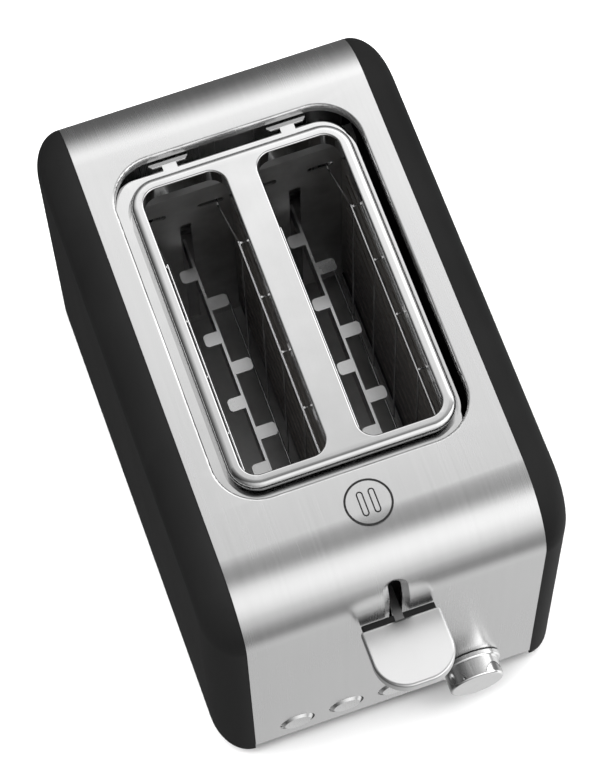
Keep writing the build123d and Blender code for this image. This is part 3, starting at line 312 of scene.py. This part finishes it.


# pieces whose own finish differs a little from the rest of their material slot; the chamber sheet is
# rougher, and its tone is raised as painted light for the end plates and shields, which get little light
# inside the slots
CHAMBER_SHEET_PAINTED_LIGHT = plated_sheet("chamber_sheet_painted_light", 0.62, 0.50)
RACK_SHEET = plated_sheet("rack_sheet", 0.72, 0.30)
OWN_FINISHES = {
    "front_end_plate": CHAMBER_SHEET_PAINTED_LIGHT,
    "rear_end_plate": CHAMBER_SHEET_PAINTED_LIGHT,
    "heat_shield_left": CHAMBER_SHEET_PAINTED_LIGHT,
    "heat_shield_right": CHAMBER_SHEET_PAINTED_LIGHT,
    "bread_rack_left": RACK_SHEET,
    "bread_rack_right": RACK_SHEET,
    "lever_paddle": satin_chrome(),
}


def dress_nodes():
    """Gives each CAD node its finish."""
    for entry in frame["record"]["subparts"]:
        name = entry["node"]
        mesh = nodes[name].data
        mesh.materials.clear()
        mesh.materials.append(OWN_FINISHES.get(name, FINISHES[entry["material_slot"]]))


dress_nodes()


# ------------------------------------------------------------------ smooth skins
def blend_normals(mesh, sharpest):
    """Shades a mesh smoothly where its faces meet at less than the sharpest angle.

    Faces count by area, so that a flat face stays flat beside a bend.
    """
    around = {}
    same_spot = 0.001 * MM
    spots = [tuple(round(value / same_spot) for value in vertex.co) for vertex in mesh.vertices]
    for polygon in mesh.polygons:
        polygon.use_smooth = True
        for vertex in polygon.vertices:
            around.setdefault(spots[vertex], []).append((polygon.normal.copy(), polygon.area))
    limit = math.cos(sharpest)
    normals = [Vector((0.0, 0.0, 1.0))] * len(mesh.loops)
    for polygon in mesh.polygons:
        for loop in polygon.loop_indices:
            total = Vector((0.0, 0.0, 0.0))
            for normal, area in around[spots[mesh.loops[loop].vertex_index]]:
                if normal.dot(polygon.normal) > limit:
                    total += normal * area
            normals[loop] = total.normalized() if total.length > 0 else polygon.normal.copy()
    mesh.normals_split_custom_set(normals)


def smooth_skin(node_name, piece_name):
    """Stands for a CAD node with the same mesh, shaded without a step where a flat runs into a bend."""
    skin = bpy.data.objects.new(piece_name, nodes[node_name].data.copy())
    blend_normals(skin.data, math.radians(24))
    bpy.context.scene.collection.objects.link(skin)
    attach(skin, "chassis")
    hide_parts(node_name)


smooth_skin("outer_shell", "wrapped_sheet")
smooth_skin("slot_frame", "pressed_frame")
smooth_skin("side_panel_left", "panel_moulding_left")
smooth_skin("side_panel_right", "panel_moulding_right")


# ------------------------------------------------------------------ printed mark on the top
def printed_mark():
    """Thin ring round two bars: a plain picture of a two-slot top."""
    ring_radius, line, height = 10.5 * MM, 0.95 * MM, 0.06 * MM
    from_front_edge = 36.0 * MM
    bar_x, bar_half_length, bar_inner, bar_outer = 2.6 * MM, 4.2 * MM, 0.9 * MM, 1.5 * MM
    center = Vector((0.0, SHELL_FRONT + from_front_edge, SHELL_TOP))
    steps = 96
    end_steps = 16
    mesh = bmesh.new()

    def band(inner, outer):
        """Flat closed strip between two loops of points."""
        for a, b, c, d in zip(inner, inner[1:] + inner[:1], outer[1:] + outer[:1], outer):
            mesh.faces.new([mesh.verts.new(center + p) for p in (a, b, c, d)])

    def circle(radius):
        turns = [2 * math.pi * i / steps for i in range(steps)]
        return [Vector((radius * math.cos(turn), radius * math.sin(turn), height)) for turn in turns]

    def capsule(x, half_length, radius):
        points = []
        for side, start in ((1, 0), (-1, math.pi)):
            for i in range(end_steps + 1):
                angle = math.pi * i / end_steps + start
                along = side * half_length + radius * math.sin(angle)
                points.append(Vector((x + radius * math.cos(angle), along, height)))
        return points

    band(circle(ring_radius - line), circle(ring_radius))
    for x in (-bar_x, bar_x):
        band(capsule(x, bar_half_length, bar_inner), capsule(x, bar_half_length, bar_outer))
    bmesh.ops.remove_doubles(mesh, verts=mesh.verts, dist=1e-7)
    bmesh.ops.recalc_face_normals(mesh, faces=mesh.faces)
    data = bpy.data.meshes.new("printed_mark")
    mesh.to_mesh(data)
    mesh.free()
    mark = bpy.data.objects.new("printed_mark", data)
    bpy.context.scene.collection.objects.link(mark)
    data.materials.append(printed_ink())
    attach(mark, "chassis")


printed_mark()


# ------------------------------------------------------------------ springs round the guide rods
def coil_springs():
    """Springs round the guide rods, as copies of the CAD springs with meshes of their own."""
    for side in ("left", "right"):
        name = f"carriage_spring_{side}"
        data = nodes[name].data.copy()
        spring = bpy.data.objects.new(f"coil_{side}", data)
        bpy.context.scene.collection.objects.link(spring)
        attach(spring, "chassis")
        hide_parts(name)
        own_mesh(spring)


coil_springs()


# ------------------------------------------------------------------ floor, light, camera
def floor():
    s = Shader("pale_floor", Specular_IOR_Level=0.2)
    mottle = s.noise((6, 6, 6), detail=2.0)
    s.drive(Base_Color=s.blend(s.spread(mottle, 0, 1), grey(0.90), grey(0.92)))
    s.drive(Roughness=s.spread(mottle, 0.75, 0.8))
    half = 6.0
    data = bpy.data.meshes.new("floor")
    corners = [(-half, -half, 0), (half, -half, 0), (half, half, 0), (-half, half, 0)]
    data.from_pydata(corners, [], [(0, 1, 2, 3)])
    data.materials.append(s.material)
    plane = bpy.data.objects.new("floor", data)
    bpy.context.scene.collection.objects.link(plane)
    plane.visible_glossy = False


# Brightness of the studio round the toaster, by the angle from straight up (0 degrees) over the front
# (90) or over the rear (-90): a softbox behind the top, a gap, a softbox in front, dark cards low down.
STUDIO_ARC = (
    (-180, 0.50), (-140, 0.10), (-100, 0.10), (-82, 0.15), (-64, 0.45), (-52, 0.90), (-42, 1.28),
    (-30, 1.26), (-25, 1.05), (-21, 0.80), (-17, 0.55), (-10, 0.42), (6, 0.28), (18, 0.22),
    (26, 0.58), (36, 1.10), (58, 1.14), (76, 0.84), (92, 0.56), (108, 0.28), (124, 0.15),
    (136, 0.58), (152, 0.66), (166, 0.54), (180, 0.50),
)
# The left is darker and the right is brighter. Matt surfaces get less, because the lamps light them too.
SIDE_SLOPE = 1.1
DARKEST_SIDE, BRIGHTEST_SIDE = 0.15, 1.8
LESS_FOR_MATT = 0.5
BACKDROP = 0.9


def studio():
    """World light: the arc above over the toaster's length, and a gentle change from side to side."""
    world = bpy.data.worlds.new("studio")
    world.use_nodes = True
    bpy.context.scene.world = world
    tree = world.node_tree
    background = tree.nodes["Background"]
    direction = tree.nodes.new("ShaderNodeTexCoord").outputs["Generated"]
    axes = tree.nodes.new("ShaderNodeSeparateXYZ")
    tree.links.new(direction, axes.inputs[0])

    def op(operation, *values):
        node = tree.nodes.new("ShaderNodeMath")
        node.operation = operation
        for index, value in enumerate(values):
            if isinstance(value, (int, float)):
                node.inputs[index].default_value = value
            else:
                tree.links.new(value, node.inputs[index])
        return node.outputs[0]

    forward = op("MULTIPLY", axes.outputs["Y"], -1.0)
    angle = op("ARCTAN2", forward, axes.outputs["Z"])
    share = op("ADD", op("DIVIDE", angle, 2 * math.pi), 0.5)
    arc = tree.nodes.new("ShaderNodeValToRGB")
    tree.links.new(share, arc.inputs["Fac"])
    stops = arc.color_ramp.elements
    while len(stops) > 1:
        stops.remove(stops[-1])
    for index, (degrees, level) in enumerate(STUDIO_ARC):
        position = (degrees + 180) / 360
        stop = stops[0] if index == 0 else stops.new(position)
        stop.position = position
        stop.color = (level, level, level, 1.0)
    side = op("ADD", op("MULTIPLY", axes.outputs["X"], SIDE_SLOPE), 1.0)
    side = op("MINIMUM", op("MAXIMUM", side, DARKEST_SIDE), BRIGHTEST_SIDE)
    level = tree.nodes.new("ShaderNodeVectorMath")
    level.operation = "SCALE"
    tree.links.new(arc.outputs["Color"], level.inputs[0])
    tree.links.new(side, level.inputs["Scale"])
    ray = tree.nodes.new("ShaderNodeLightPath").outputs
    strength = op("SUBTRACT", 1.0, op("MULTIPLY", ray["Is Diffuse Ray"], LESS_FOR_MATT))
    tree.links.new(strength, background.inputs["Strength"])
    # straight views past the floor's edge see an even pale grey
    seen = ray["Is Camera Ray"]
    mix = tree.nodes.new("ShaderNodeMix")
    mix.data_type = "RGBA"
    mix.inputs["B"].default_value = (*grey(BACKDROP), 1.0)
    tree.links.new(seen, mix.inputs["Factor"])
    tree.links.new(level.outputs[0], mix.inputs["A"])
    tree.links.new(mix.outputs["Result"], background.inputs["Color"])


def soft_light(name, place, aim, size, power):
    """Large area lamp that lights matt surfaces; mirrors see the studio arc instead."""
    lamp = bpy.data.lights.new(name, "AREA")
    lamp.shape = "SQUARE"
    lamp.size = size
    lamp.energy = power
    holder = bpy.data.objects.new(name, lamp)
    bpy.context.scene.collection.objects.link(holder)
    holder.location = place
    holder.rotation_mode = "QUATERNION"
    holder.rotation_quaternion = (Vector(aim) - Vector(place)).to_track_quat("-Z", "Y")
    holder.visible_glossy = False


def camera():
    """View down on the control end from its left, with the long side of the frame upright."""
    azimuth, elevation, roll = (math.radians(v) for v in (-17.665, 67.397, -2.071))
    distance = 1.275
    aim_left, aim_up = 38.66, 78.97  # mm
    back = Vector((
        math.sin(azimuth) * math.cos(elevation),
        -math.cos(azimuth) * math.cos(elevation),
        math.sin(elevation),
    ))
    level_right = Vector((math.cos(azimuth), math.sin(azimuth), 0.0))
    level_up = back.cross(level_right)
    right = level_right * math.cos(roll) + level_up * math.sin(roll)
    up = level_up * math.cos(roll) - level_right * math.sin(roll)
    # the view is centred to the left of the middle of the front edge, and behind it
    aim = Vector((0.0, SHELL_FRONT, SHELL_TOP)) - right * aim_left * MM + up * aim_up * MM
    place = aim + back * distance
    data = bpy.data.cameras.new("camera")
    data.sensor_fit = "AUTO"
    data.sensor_width = 36.0
    data.lens = 144.31
    data.clip_start, data.clip_end = 0.05, 50.0
    holder = bpy.data.objects.new("camera", data)
    bpy.context.scene.collection.objects.link(holder)
    holder.matrix_world = Matrix((
        (right.x, up.x, back.x, place.x),
        (right.y, up.y, back.y, place.y),
        (right.z, up.z, back.z, place.z),
        (0.0, 0.0, 0.0, 1.0),
    ))
    bpy.context.scene.camera = holder


floor()
studio()
soft_light("key_light", (-0.9, 0.1, 1.6), (0, 0, 0.1), 1.2, 30)
soft_light("fill_light", (1.1, -0.1, 1.5), (0, 0, 0.1), 1.4, 26)
soft_light("top_light", (0, 0.1, 2.2), (0, 0, 0), 1.6, 38)
camera()
bpy.context.scene.view_settings.view_transform = "Standard"
